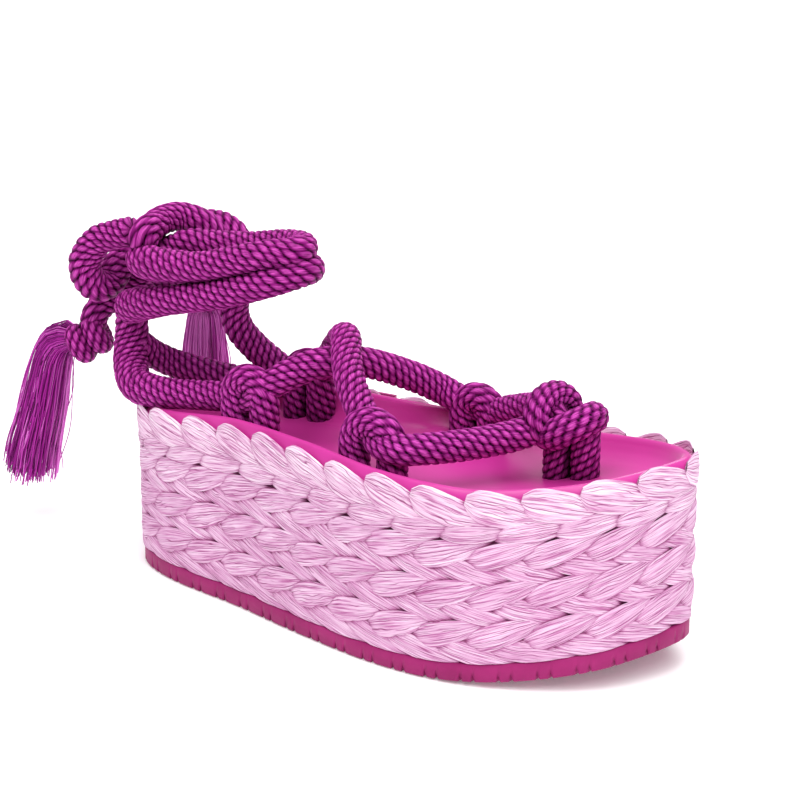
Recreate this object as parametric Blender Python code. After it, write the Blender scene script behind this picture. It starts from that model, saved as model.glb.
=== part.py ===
"""Platform gladiator sandal, right shoe: knotted rope straps on a raffia-wrapped platform."""
from collections import namedtuple
import math

import bmesh
import bpy
from mathutils import Matrix, Vector
import numpy as np

# Lengths are in millimetres: x forward from the back of the heel, y to the inner side, z up from the
# floor. WELD is in metres.
MILLIMETRE = 0.001
ORIGIN_X = 120.29
ORIGIN_Y = -1.5
GAP = 0.3
WELD = 1e-6
CURVE_SAMPLES = 24
OUTLINE_STEP = 1.0

# Sole sections from heel to toe: outer and inner edge, floor rise (toe spring), height of the raffia's top
# edge, height of the footbed's rim above that edge on each side, and depth of the footbed below it
Section = namedtuple("Section", "x outer inner rise top rim_outer rim_inner depth")
SECTIONS = [
    Section(1.0, 1.5, 1.5, 0.0, 69.0, 0.0, 0.0, 7.0),
    Section(9.0, -18.4, 21.5, 0.0, 69.6, 0.2, 0.2, 8.0),
    Section(33.0, -30.0, 32.7, 0.0, 72.2, 2.0, 1.0, 9.5),
    Section(75.0, -36.9, 32.0, 0.0, 76.2, 4.2, 1.5, 10.5),
    Section(115.0, -45.4, 33.0, 0.0, 77.4, 3.8, 1.0, 10.0),
    Section(155.0, -51.2, 42.4, 0.0, 76.3, 2.2, 0.4, 8.5),
    Section(190.0, -49.0, 48.3, 0.9, 76.2, 1.4, 0.2, 7.5),
    Section(219.0, -37.1, 45.0, 4.4, 79.0, 1.0, 0.2, 7.0),
    Section(242.0, -17.7, 34.0, 9.0, 82.6, 0.8, 0.2, 6.5),
    Section(253.5, 15.0, 15.0, 11.9, 84.6, 0.6, 0.6, 6.0),
]

# Outsole
OUTSOLE_THICKNESS = 7.7
OUTSOLE_CHAMFER = 0.8
GROOVE_DEPTH = 2.4
GROOVE_HALF_WIDTH = 1.5
GROOVE_PAIR_OFFSET = 2.6
GROOVE_PITCH = 17.0
GROOVE_REACH = 80.0
FIRST_GROOVE = 13.0
LAST_GROOVE = 246.0

# Raffia wall: braid rows from the bottom up (+1 leans to the toe on the outer side), strips around the sole
ROW_LEANS = (-1, 1, -1, 1, -1, 1, 1, -1)
STRIPS_AROUND = 26
COLUMNS_PER_STRIP = 4
COLUMN_RELIEF = (0.0, 0.75, 1.0, 0.75)
STRIP_RELIEF = 1.7
ROW_LEAN = 0.5
EDGE_RELIEF = 0.2
RIM_WALL = 3.0
RECESS_DEPTH = 14.5
SEAT_GAP = 0.5

# Footbed ring profile: inset from the outline, share of the height from the footbed's floor to its rim
FootbedRing = namedtuple("FootbedRing", "inset share")
FOOTBED_RINGS = [
    FootbedRing(3.9, 0.86), FootbedRing(4.8, 1.0), FootbedRing(6.2, 0.98), FootbedRing(7.6, 0.72),
    FootbedRing(10.5, 0.26), FootbedRing(15.0, 0.06), FootbedRing(19.0, 0.0),
]
SPINE_CLAMP = 9
NARROWEST_WIDTH = 20.0

# Seam strip that covers the joint of the raffia on the inner side
SEAM_X = 97.0
SEAM_WIDTH = 12.0
SEAM_THICKNESS = 1.4
SEAM_GAP = 0.4
SEAM_STANDOFF = STRIP_RELIEF + SEAM_GAP
SEAM_LENGTH_STEPS = 4
SEAM_HEIGHT_STEPS = 6

# Rope
ROPE_DIAMETER = 12.0
ROPE_RADIUS = ROPE_DIAMETER / 2
ROPE_STEP = 9.0
ANCHOR_STEP = 5.0
ROPE_BEVEL = 2
SUNK_END = 0.7
SOCKET_CLEARANCE = 0.5
SOCKET_OVERSHOOT = 5.0
LEG_END_GAP = 1.2
LEG_STRAIGHT = 9.0
CROWN_POINTS = 5

# Rope anchors: two legs through the footbed and a round crown over the strap
Anchor = namedtuple("Anchor", "name x_back x_front y crown")
ANCHORS = [
    Anchor("outer_front", 134.0, 152.0, -34.5, 91.0),
    Anchor("inner_front", 142.0, 155.5, 28.0, 86.5),
    Anchor("outer_rear", 66.5, 81.0, -24.5, 93.5),
    Anchor("inner_rear", 62.5, 75.0, 20.0, 89.0),
]

# Two rope legs of the toe post and the knot on them
TOE_LEGS = ((200.5, 7.5), (210.8, 9.3))
TOE_LEG_TOP = 93.0
Turn = namedtuple("Turn", "name centre axis_one axis_two")
TOE_KNOT_TURNS = [
    Turn("over_straps", (197.0, 9.0, 93.0), (1.0, 8.6, 1.0), (-2.0, 0.0, 6.8)),
    Turn("round_legs", (206.0, 8.5, 90.5), (7.4, 0.0, 4.2), (0.0, 8.2, 0.0)),
]
TURN_POINTS = 14

# Rope routes, chosen points along each strap
STRAP_ROUTES = {
    "outer_strap": [
        (204, 8, 94), (196, 4, 90), (187, -7, 86.5), (176, -22, 85), (166, -33, 84.5), (156, -37.5, 83.5),
        (146, -36.5, 83.5), (138, -30, 86.5), (129, -25, 93), (120, -19, 100), (111.5, -10, 106),
        (104.5, -1, 109.5), (96, 8, 107), (86.5, 15, 99), (77, 19, 88), (69, 20.5, 82), (58, 20.5, 82.5),
        (50, 19, 86.5), (42.5, 16, 93), (37.5, 12.5, 101), (36, 11.5, 110), (38.5, 13.2, 120.6),
    ],
    "inner_strap": [
        (204, 11, 96), (193, 15, 95), (180, 21, 90), (166, 26, 85), (156, 28.5, 81.5), (147, 29, 81),
        (139, 28.5, 84), (131, 26.5, 87.5), (122, 18, 93.5), (111, 3, 100.5), (100, -8, 101.5),
        (91, -15, 98), (82.5, -22.5, 92), (77, -26, 86.5), (70, -23, 82.5), (60, -19, 82),
        (44, -19, 80), (23, -19.5, 78.6), (6, -16.5, 78.4), (-4, -9.5, 83), (-8, -4, 92), (-8.5, -3, 104),
    ],
    "heel_sling": [
        (-6.5, -3, 91), (-4.5, 4, 84.5), (2, 10.5, 79.5), (15, 14.5, 77), (33, 17, 76), (50, 19, 77),
        (63, 20, 79),
    ],
}
ANKLE_WRAPS = {
    "lower_wrap": [
        (-8, -3, 106), (3, -10, 110), (18, -14, 114.5), (33, -14.5, 118.5), (51, -14.5, 123),
        (66, -13, 128), (77, -9, 132), (83, 0, 134.5), (78, 9, 133), (66, 12, 128.5), (50, 13, 124),
        (33, 13, 119.5), (15, 11.5, 114.5), (-1, 7, 109),
    ],
    "upper_wrap": [
        (3.5, -8, 129), (14, -13.5, 130), (26, -14.5, 131), (41, -14.5, 133), (57, -13.5, 137.5),
        (70, -10.5, 141), (80, -2, 142.3), (75.5, 8, 142), (63, 12, 140.3), (46, 12, 137), (30, 9.5, 135.5),
        (18, 7.5, 135), (8, 6, 131.6), (0.5, 1, 129),
    ],
}

# Bow at the back: each rope end leaves the knot, makes a loop and goes on to its stopper knot
BOW_KNOT_ROUTE = [(4.5, -8.5, 136.2), (4.7, -8.7, 138.8), (4.2, -5.5, 141.2), (3.4, -1, 141.8)]
BOW_ROUTES = {
    "bow_left": [
        (-3.1, -7.2, 140.1), (-11, -8, 137.8), (-20, -10, 134), (-25.5, -12, 126), (-26, -11, 118),
        (-24.5, -6, 112.8), (-24, 1, 114), (-23, 6, 120), (-20, 12, 124), (-19, 19, 120),
        (-23, 20, 112), (-29, 14, 106), (-32.7, 7, 101.5), (-34, 2, 97.2),
    ],
    "bow_right": [
        (3.3, -0.5, 141.9), (2.2, 5.5, 143), (4.5, 14, 143.4), (10.5, 20.5, 140.5), (13, 25, 134.5),
        (8, 27, 127.5), (-1, 29, 126), (-6, 33, 130.5), (0, 37.5, 135), (9, 38, 135), (15.5, 38.5, 130.5),
        (16, 37, 123.5), (11.5, 35.2, 118.7), (6.9, 34, 117.1),
    ],
}
BOW_STEP = 7.0

# Stopper knots and tassels at the ends of the bow
STOPPER_BALL = 6.6
STOPPER_RING = 5.6
STOPPER_STRAND = 3.6
STOPPER_BALL_SIDES = (8, 5)
STOPPER_RING_SIDES = (10, 5)
STOPPER_TURNS = ((0.0, 0.4), (1.37, -0.55))
Stopper = namedtuple("Stopper", "name centre tilt")
STOPPERS = [
    Stopper("stopper_left", (-35.5, -1.0, 86.5), 0.55),
    Stopper("stopper_right", (1.5, 33.0, 107.5), -0.5),
]
Tassel = namedtuple("Tassel", "name route top_radius end_radius locks")
TASSELS = [
    Tassel("tassel_left",
           [(-43.4, -1.9, 86.4), (-49.5, -2.8, 84.9), (-54.3, -3.5, 78.5), (-57.2, -4, 69), (-60.6, -4.6, 55),
            (-66, -5.4, 36), (-70.5, -6, 18)], 4.6, 12.2, 12),
    Tassel("tassel_right",
           [(1.2, 33.3, 99.7), (0.6, 33.6, 88), (0, 34, 72), (-0.5, 34.3, 52), (-1, 34.6, 40)], 5.0, 10.5,
           11),
]
TASSEL_STATIONS = 9
LOCK_DEPTH = 0.24
LOCK_RAGGED = 5.0
LOCK_SCATTER = 3.7
FLARE_POWER = 0.5

# Base colours (linear), roughness
Finish = namedtuple("Finish", "colour roughness")
FINISHES = {
    "rope": Finish((0.225, 0.013, 0.150), 0.45),
    "raffia": Finish((0.870, 0.470, 0.720), 0.70),
    "moulded_footbed": Finish((0.500, 0.040, 0.270), 0.38),
    "outsole_rubber": Finish((0.430, 0.030, 0.190), 0.55),
    "seam_leather": Finish((0.420, 0.030, 0.200), 0.45),
}


def place(points):
    """World coordinates in metres of points given in millimetres from the heel."""
    return (np.asarray(points, float) - (ORIGIN_X, ORIGIN_Y, 0.0)) * MILLIMETRE


def section_value(x, column):
    """Smooth value of a sole section's column at x."""
    xs = np.array([section.x for section in SECTIONS])
    values = np.array([getattr(section, column) for section in SECTIONS])
    slopes = np.gradient(values, xs)
    steps = np.diff(values)
    slopes[1:-1] *= steps[:-1] * steps[1:] > 0
    x = np.clip(x, xs[0], xs[-1])
    k = np.clip(np.searchsorted(xs, x) - 1, 0, len(xs) - 2)
    span = xs[k + 1] - xs[k]
    t = (x - xs[k]) / span
    start = values[k] * (1 + 2 * t) * (1 - t) ** 2 + slopes[k] * span * t * (1 - t) ** 2
    end = values[k + 1] * t ** 2 * (3 - 2 * t) - slopes[k + 1] * span * t ** 2 * (1 - t)
    return start + end


def smooth_curve(points, step, closed=False):
    """Points about a step apart on a Catmull-Rom curve through the given points."""
    knots = np.asarray(points, float)
    if closed:
        padded = np.vstack([knots[-1], knots, knots[:2]])
    else:
        padded = np.vstack([2 * knots[0] - knots[1], knots, 2 * knots[-1] - knots[-2]])
    t = np.linspace(0, 1, CURVE_SAMPLES, endpoint=False)[:, None]
    pieces = []
    for p0, p1, p2, p3 in zip(padded[:-3], padded[1:-2], padded[2:-1], padded[3:]):
        pieces.append(0.5 * (2 * p1 + (p2 - p0) * t + (2 * p0 - 5 * p1 + 4 * p2 - p3) * t ** 2
                             + (3 * p1 - p0 - 3 * p2 + p3) * t ** 3))
    dense = np.vstack(pieces + [padded[-2][None]])
    travel = np.concatenate([[0], np.cumsum(np.linalg.norm(np.diff(dense, axis=0), axis=1))])
    count = max(2, round(travel[-1] / step))
    wanted = np.linspace(0, travel[-1], count + 1)
    if closed:
        wanted = wanted[:-1]
    return np.stack([np.interp(wanted, travel, dense[:, k]) for k in range(dense.shape[1])], axis=1)


class Outline:
    """The sole's edge as a closed curve, by distance from the back of the heel along the outer side."""

    def __init__(self):
        heel, toe = SECTIONS[0], SECTIONS[-1]
        outer = [(s.x, s.outer) for s in SECTIONS[1:-1]]
        inner = [(s.x, s.inner) for s in reversed(SECTIONS[1:-1])]
        around = [(heel.x, heel.outer)] + outer + [(toe.x, toe.outer)] + inner
        points = smooth_curve(around, OUTLINE_STEP, closed=True)
        self.loop = np.vstack([points, points[:1]])
        self.travel = np.concatenate([[0], np.cumsum(np.linalg.norm(np.diff(self.loop, axis=0), axis=1))])
        self.length = self.travel[-1]

    def at(self, distance):
        """Points on the edge at the given distances."""
        distance = np.mod(distance, self.length)
        return np.stack([np.interp(distance, self.travel, self.loop[:, k]) for k in (0, 1)], axis=1)

    def outward(self, distance):
        """Unit normals that point out of the sole."""
        ahead = self.at(distance + OUTLINE_STEP) - self.at(distance - OUTLINE_STEP)
        ahead /= np.linalg.norm(ahead, axis=1)[:, None]
        return np.stack([ahead[:, 1], -ahead[:, 0]], axis=1)

    def stations(self, count):
        """Evenly spaced edge points, and for each the point of the centre line that it faces."""
        points = self.at(np.arange(count) * self.length / count)
        half = count // 2
        clamp = round(SPINE_CLAMP * count / (STRIPS_AROUND * COLUMNS_PER_STRIP))
        index = np.arange(count)
        from_heel = np.clip(np.where(index > half, count - index, index), clamp, half - clamp)
        spine = (points[from_heel] + points[count - from_heel]) / 2
        return points, spine


def inset_ring(points, spine, inset):
    """Edge points moved towards the centre line."""
    towards = spine - points
    towards /= np.linalg.norm(towards, axis=1)[:, None]
    return points + towards * inset


def with_height(ring, height):
    return np.column_stack([ring, height])


def new_object(name, mesh, finish, collection):
    piece = bpy.data.objects.new(name, mesh)
    collection.objects.link(piece)
    if finish:
        mesh.materials.append(material(finish))
    return piece


def material(name):
    if name in bpy.data.materials:
        return bpy.data.materials[name]
    made = bpy.data.materials.new(name)
    made.use_nodes = True
    shader = made.node_tree.nodes["Principled BSDF"]
    shader.inputs["Base Color"].default_value = (*FINISHES[name].colour, 1.0)
    shader.inputs["Roughness"].default_value = FINISHES[name].roughness
    return made


def loft(name, rings, finish, collection, ends="strips"):
    """Closed solid through rings of equal point counts; the ends are closed by strips or by one face."""
    shape = bmesh.new()
    rows = [[shape.verts.new(point) for point in place(ring)] for ring in rings]
    count = len(rows[0])
    for low, high in zip(rows, rows[1:]):
        for i in range(count):
            j = (i + 1) % count
            shape.faces.new((low[i], low[j], high[j], high[i]))
    for row in (rows[0], rows[-1]):
        if ends == "strips":
            close_with_strips(shape, row)
        else:
            shape.faces.new(row)
    bmesh.ops.recalc_face_normals(shape, faces=shape.faces)
    mesh = bpy.data.meshes.new(name)
    shape.to_mesh(mesh)
    shape.free()
    return new_object(name, mesh, finish, collection)


def close_with_strips(shape, row):
    """Faces across a ring, from each outer-side point to the inner-side point that mirrors it."""
    count = len(row)
    half = count // 2
    shape.faces.new((row[0], row[1], row[count - 1]))
    for i in range(1, half - 1):
        shape.faces.new((row[i], row[i + 1], row[count - i - 1], row[count - i]))
    shape.faces.new((row[half - 1], row[half], row[half + 1]))


def evaluated_mesh(piece):
    graph = bpy.context.evaluated_depsgraph_get()
    return bpy.data.meshes.new_from_object(piece.evaluated_get(graph))


def tube(name, points, radius, finish, collection, closed=False, end_share=1.0):
    """Mesh tube along points, made from a bevelled curve; its ends can be thinner than the rest."""
    curve = bpy.data.curves.new(name, "CURVE")
    curve.dimensions = "3D"
    curve.bevel_depth = radius * MILLIMETRE
    curve.bevel_resolution = ROPE_BEVEL
    curve.use_fill_caps = True
    spline = curve.splines.new("POLY")
    spline.points.add(len(points) - 1)
    for target, point in zip(spline.points, place(points)):
        target.co = (*point, 1.0)
    for target in (spline.points[0], spline.points[-1]):
        target.radius = end_share
    spline.use_cyclic_u = closed
    guide = bpy.data.objects.new(name + "_curve", curve)
    collection.objects.link(guide)
    bpy.context.view_layer.update()
    mesh = evaluated_mesh(guide)
    bpy.data.objects.remove(guide)
    shape = bmesh.new()
    shape.from_mesh(mesh)
    bmesh.ops.remove_doubles(shape, verts=shape.verts, dist=WELD)
    bmesh.ops.recalc_face_normals(shape, faces=shape.faces)
    shape.to_mesh(mesh)
    shape.free()
    mesh.materials.clear()
    return new_object(name, mesh, finish, collection)


def boolean(piece, other, operation):
    """Apply an exact Boolean with one other object, which is then removed."""
    step = piece.modifiers.new(operation, "BOOLEAN")
    step.operation = operation
    step.solver = "EXACT"
    step.object = other
    bpy.context.view_layer.update()
    mesh = evaluated_mesh(piece)
    piece.modifiers.clear()
    piece.data = mesh
    bpy.data.objects.remove(other)


def keep_outer_shell(piece):
    """Fill the sealed pockets inside a knot: only the largest connected shell stays."""
    shape = bmesh.new()
    shape.from_mesh(piece.data)
    bmesh.ops.remove_doubles(shape, verts=shape.verts, dist=WELD)
    waiting = set(shape.verts)
    shells = []
    while waiting:
        front = [waiting.pop()]
        shell = set(front)
        while front:
            for edge in front.pop().link_edges:
                for vert in edge.verts:
                    if vert in waiting:
                        waiting.discard(vert)
                        shell.add(vert)
                        front.append(vert)
        shells.append(shell)
    largest = max(shells, key=len)
    spare = [vert for vert in shape.verts if vert not in largest]
    bmesh.ops.delete(shape, geom=spare, context="VERTS")
    shape.to_mesh(piece.data)
    shape.free()


def make_outsole(outline, parts, cutters):
    count = STRIPS_AROUND * COLUMNS_PER_STRIP // 2
    points, spine = outline.stations(count)
    chamfered = inset_ring(points, spine, OUTSOLE_CHAMFER)
    rise = section_value(points[:, 0], "rise")
    low_rise = section_value(chamfered[:, 0], "rise")
    rings = [
        with_height(chamfered, low_rise),
        with_height(points, rise + OUTSOLE_CHAMFER),
        with_height(points, rise + OUTSOLE_THICKNESS),
    ]
    outsole = loft("outsole", rings, "outsole_rubber", parts)
    for centre in np.arange(FIRST_GROOVE, LAST_GROOVE, GROOVE_PITCH):
        for side in (-1, 1):
            boolean(outsole, groove(centre + side * GROOVE_PAIR_OFFSET, cutters), "DIFFERENCE")


def groove(x, cutters):
    """Cutter of one V-shaped tread groove across the sole."""
    floor = section_value(x, "rise")
    half = GROOVE_HALF_WIDTH
    deep = GROOVE_DEPTH
    profile = [(x - 2 * half, floor - deep), (x, floor + deep), (x + 2 * half, floor - deep)]
    rings = [[(px, side, pz) for px, pz in profile] for side in (-GROOVE_REACH, GROOVE_REACH)]
    cutter = loft("groove", rings, None, cutters, ends="face")
    cutter.hide_render = True
    cutter.display_type = "WIRE"
    return cutter


def make_platform(outline, parts):
    """Raffia-wrapped midsole: a wall of leaning braid strips around a recess for the footbed."""
    count = STRIPS_AROUND * COLUMNS_PER_STRIP
    points, spine = outline.stations(count)
    pitch = outline.length / STRIPS_AROUND
    column = np.tile(COLUMN_RELIEF, STRIPS_AROUND)
    base = np.arange(count) * outline.length / count
    rows = len(ROW_LEANS)

    def wall_ring(level, lean, relief):
        distance = base + lean * pitch
        edge = outline.at(distance) + outline.outward(distance) * (relief * STRIP_RELIEF)[:, None]
        low = section_value(edge[:, 0], "rise") + OUTSOLE_THICKNESS + GAP
        high = section_value(edge[:, 0], "top")
        return with_height(edge, low + (high - low) * level)

    rings = [wall_ring(0.0, 0.0, column * 0.0)]
    lean = 0.0
    for row, direction in enumerate(ROW_LEANS):
        middle = lean + direction * ROW_LEAN / 2
        rings.append(wall_ring((row + 0.5) / rows, middle, column))
        lean += direction * ROW_LEAN
        edge_relief = EDGE_RELIEF if row < rows - 1 else 0.0
        rings.append(wall_ring((row + 1.0) / rows, lean, column * edge_relief))
    inner = inset_ring(points, spine, RIM_WALL)
    top = section_value(inner[:, 0], "top")
    rings.append(with_height(inner, top))
    rings.append(with_height(inner, top - RECESS_DEPTH))
    loft("raffia_platform", rings, "raffia", parts)


def footbed_rim(ring):
    """Height of the footbed's rim at each point of a ring."""
    middle = (section_value(ring[:, 0], "outer") + section_value(ring[:, 0], "inner")) / 2
    width = section_value(ring[:, 0], "inner") - section_value(ring[:, 0], "outer")
    share = np.clip(0.5 + (ring[:, 1] - middle) / np.maximum(width, NARROWEST_WIDTH), 0, 1)
    outer = section_value(ring[:, 0], "rim_outer")
    inner = section_value(ring[:, 0], "rim_inner")
    return section_value(ring[:, 0], "top") + outer + (inner - outer) * share


def make_footbed(outline, parts, cutters):
    """Moulded footbed with a raised rim, and round holes for the rope legs."""
    count = STRIPS_AROUND * COLUMNS_PER_STRIP // 2
    points, spine = outline.stations(count)
    seat = inset_ring(points, spine, RIM_WALL + 2 * SEAT_GAP)
    rings = [with_height(seat, section_value(seat[:, 0], "top") - RECESS_DEPTH + SEAT_GAP)]
    for inset, share in FOOTBED_RINGS:
        ring = inset_ring(points, spine, inset)
        floor = section_value(ring[:, 0], "top") - section_value(ring[:, 0], "depth")
        rings.append(with_height(ring, floor + (footbed_rim(ring) - floor) * share))
    footbed = loft("footbed", rings, "moulded_footbed", parts)
    for x, y in leg_places():
        low = section_value(x, "top") - RECESS_DEPTH - SOCKET_OVERSHOOT
        boolean(footbed, socket(x, y, low, cutters), "DIFFERENCE")


def socket(x, y, low, cutters):
    """Cutter of one rope hole through the footbed."""
    route = [(x, y, low), (x, y, low + 2 * RECESS_DEPTH)]
    cutter = tube("socket", route, ROPE_RADIUS + SOCKET_CLEARANCE, None, cutters)
    cutter.hide_render = True
    cutter.display_type = "WIRE"
    return cutter


def leg_places():
    """Where rope legs go through the footbed."""
    places = []
    for anchor in ANCHORS:
        places += [(anchor.x_back, anchor.y), (anchor.x_front, anchor.y)]
    return places + list(TOE_LEGS)


def leg_foot(x):
    return section_value(x, "top") - RECESS_DEPTH + LEG_END_GAP


def anchor_route(anchor):
    """Up one leg, over a round crown and down the other leg."""
    radius = (anchor.x_front - anchor.x_back) / 2
    centre_x = (anchor.x_front + anchor.x_back) / 2
    centre_z = anchor.crown - radius
    back_foot = leg_foot(anchor.x_back)
    front_foot = leg_foot(anchor.x_front)
    route = [(anchor.x_back, anchor.y, back_foot), (anchor.x_back, anchor.y, back_foot + LEG_STRAIGHT)]
    for angle in np.linspace(math.pi, 0, CROWN_POINTS):
        route.append((centre_x + radius * math.cos(angle), anchor.y, centre_z + radius * math.sin(angle)))
    route += [(anchor.x_front, anchor.y, front_foot + LEG_STRAIGHT), (anchor.x_front, anchor.y, front_foot)]
    return route


def turn_route(turn):
    """Closed oval of rope from a centre and two half axes."""
    angles = np.arange(TURN_POINTS) * 2 * math.pi / TURN_POINTS
    one = np.cos(angles)[:, None] * np.array(turn.axis_one)
    two = np.sin(angles)[:, None] * np.array(turn.axis_two)
    return np.array(turn.centre) + one + two


def make_rope_upper(parts):
    """All straps, anchors, toe post and ankle wraps, joined where they cross."""
    pieces = []

    def add(name, route, closed=False, end_share=1.0, step=ROPE_STEP):
        points = smooth_curve(route, step, closed)
        pieces.append(tube(name, points, ROPE_RADIUS, "rope", parts, closed, end_share))

    for name, route in STRAP_ROUTES.items():
        add(name, route, end_share=SUNK_END)
    for name, route in ANKLE_WRAPS.items():
        add(name, route, closed=True)
    for anchor in ANCHORS:
        add(anchor.name, anchor_route(anchor), step=ANCHOR_STEP)
    for x, y in TOE_LEGS:
        add("toe_leg", [(x, y, leg_foot(x)), (x, y, leg_foot(x) + LEG_STRAIGHT), (x, y, TOE_LEG_TOP)])
    for turn in TOE_KNOT_TURNS:
        pieces.append(tube(turn.name, turn_route(turn), ROPE_RADIUS, "rope", parts, closed=True))
    upper = pieces[0]
    for piece in pieces[1:]:
        boolean(upper, piece, "UNION")
    keep_outer_shell(upper)
    upper.name = "rope_upper"


def make_bow(parts):
    """Knot and the two rope ends with their loops."""
    tube("bow_knot", smooth_curve(BOW_KNOT_ROUTE, BOW_STEP / 2), ROPE_RADIUS, "rope", parts)
    for name, route in BOW_ROUTES.items():
        tube(name, smooth_curve(route, BOW_STEP), ROPE_RADIUS, "rope", parts)


def make_stopper(stopper, parts):
    """Overhand stopper knot: a ball with two crossing turns of rope."""
    centre = Vector(place(stopper.centre))
    segments, rings = STOPPER_BALL_SIDES
    bpy.ops.mesh.primitive_uv_sphere_add(
        segments=segments, ring_count=rings, radius=STOPPER_BALL * MILLIMETRE)
    knot = take_over(stopper.name, Matrix.Translation(centre), parts)
    around, across = STOPPER_RING_SIDES
    for lean, roll in STOPPER_TURNS:
        bpy.ops.mesh.primitive_torus_add(
            major_segments=around, minor_segments=across,
            major_radius=STOPPER_RING * MILLIMETRE, minor_radius=STOPPER_STRAND * MILLIMETRE)
        spin = Matrix.Rotation(stopper.tilt + lean, 4, "Y") @ Matrix.Rotation(roll, 4, "X")
        boolean(knot, take_over("turn", Matrix.Translation(centre) @ spin, parts), "UNION")
    keep_outer_shell(knot)
    knot.data.materials.clear()
    knot.data.materials.append(material("rope"))


def take_over(name, matrix, parts):
    """Move a new primitive into the parts collection, its placement baked into its mesh."""
    piece = bpy.context.active_object
    piece.name = name
    for holder in list(piece.users_collection):
        holder.objects.unlink(piece)
    parts.objects.link(piece)
    piece.data.transform(matrix)
    return piece


def make_tassel(tassel, parts):
    """Frayed rope end: a flaring bundle whose locks are ridges with ragged tips."""
    path = smooth_curve(tassel.route, OUTLINE_STEP)
    share = np.linspace(0, 1, TASSEL_STATIONS)
    index = np.round(share * (len(path) - 1)).astype(int)
    along = np.gradient(path, axis=0)
    along /= np.linalg.norm(along, axis=1)[:, None]
    angles = np.arange(2 * tassel.locks) * math.pi / tassel.locks
    ridge = np.where(np.arange(2 * tassel.locks) % 2 == 0, 1.0, 1.0 - LOCK_DEPTH)
    rings = []
    for t, k in zip(share, index):
        across = np.cross(along[k], (0.0, 1.0, 0.0))
        across /= np.linalg.norm(across)
        depth = np.cross(across, along[k])
        radius = tassel.top_radius + (tassel.end_radius - tassel.top_radius) * t ** FLARE_POWER
        reach = (radius * (1 + (ridge - 1) * min(1.0, 2 * t)))[:, None]
        ring = path[k] + reach * (np.cos(angles)[:, None] * across + np.sin(angles)[:, None] * depth)
        if t == 1.0:
            ring += along[k] * (LOCK_RAGGED * np.sin(LOCK_SCATTER * np.arange(len(angles))) / 2)[:, None]
        rings.append(ring)
    loft(tassel.name, rings, "rope", parts, ends="face")


def make_seam_strip(outline, parts):
    """Leather strip over the raffia's joint on the inner side, from the outsole to the top edge."""
    dense = np.arange(outline.length / 2, outline.length, OUTLINE_STEP / 2)
    nearest = dense[np.argmin(np.abs(outline.at(dense)[:, 0] - SEAM_X))]
    rings = []
    for distance in np.linspace(nearest - SEAM_WIDTH / 2, nearest + SEAM_WIDTH / 2, SEAM_LENGTH_STEPS):
        spot = np.array([distance])
        edge, out = outline.at(spot)[0], outline.outward(spot)[0]
        low = OUTSOLE_THICKNESS + GAP + section_value(edge[0], "rise")
        heights = np.linspace(low, section_value(edge[0], "top"), SEAM_HEIGHT_STEPS)
        inside = edge + out * SEAM_STANDOFF
        outside = inside + out * SEAM_THICKNESS
        ring = [(*inside, z) for z in heights] + [(*outside, z) for z in reversed(heights)]
        rings.append(np.array(ring))
    loft("seam_strip", rings, "seam_leather", parts, ends="face")


def main():
    for piece in list(bpy.data.objects):
        bpy.data.objects.remove(piece)
    parts = bpy.data.collections.new("platform_gladiator_sandal")
    cutters = bpy.data.collections.new("cutters")
    for collection in (parts, cutters):
        bpy.context.scene.collection.children.link(collection)
    outline = Outline()
    make_outsole(outline, parts, cutters)
    make_platform(outline, parts)
    make_footbed(outline, parts, cutters)
    make_rope_upper(parts)
    make_bow(parts)
    for stopper in STOPPERS:
        make_stopper(stopper, parts)
    for tassel in TASSELS:
        make_tassel(tassel, parts)
    make_seam_strip(outline, parts)


main()
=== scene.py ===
"""Looks of the platform gladiator sandal, right shoe: braided rope, plaited raffia, footbed and tassels."""
from collections import namedtuple
import math

import bpy
from mathutils import Matrix, Vector
from mathutils.bvhtree import BVHTree
import numpy as np

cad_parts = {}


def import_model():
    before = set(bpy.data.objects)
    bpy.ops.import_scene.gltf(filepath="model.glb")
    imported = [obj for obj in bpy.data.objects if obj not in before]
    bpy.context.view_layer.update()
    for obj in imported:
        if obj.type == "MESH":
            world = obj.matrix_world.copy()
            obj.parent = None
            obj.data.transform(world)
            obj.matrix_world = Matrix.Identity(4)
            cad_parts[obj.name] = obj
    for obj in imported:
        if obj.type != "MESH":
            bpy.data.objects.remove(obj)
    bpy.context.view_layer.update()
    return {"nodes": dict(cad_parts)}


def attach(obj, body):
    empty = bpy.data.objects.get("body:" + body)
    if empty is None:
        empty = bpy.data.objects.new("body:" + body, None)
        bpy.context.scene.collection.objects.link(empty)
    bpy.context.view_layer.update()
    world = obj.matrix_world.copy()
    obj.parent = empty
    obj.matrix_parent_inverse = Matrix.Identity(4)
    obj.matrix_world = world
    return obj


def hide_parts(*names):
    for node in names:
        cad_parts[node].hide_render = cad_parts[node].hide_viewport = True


# Lengths are in millimetres: x forward from the back of the heel, y to the inner side, z up from the floor.
MILLIMETRE = 0.001
ORIGIN = np.array([120.29, -1.5, 0.0])
CURVE_SAMPLES = 64
OUTLINE_STEP = 1.0

# Camera: turn from the side view, height angle, distance, aim, and focal length in pixels of the picture
CAMERA_TURN = math.radians(36.33)
CAMERA_RISE = math.radians(17.3)
CAMERA_DISTANCE = 1021.3
CAMERA_AIM = (130.38, 0.0, 89.1)
CAMERA_FOCAL = 2581.0
PICTURE_WIDTH = 800
SENSOR_WIDTH = 36.0

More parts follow.
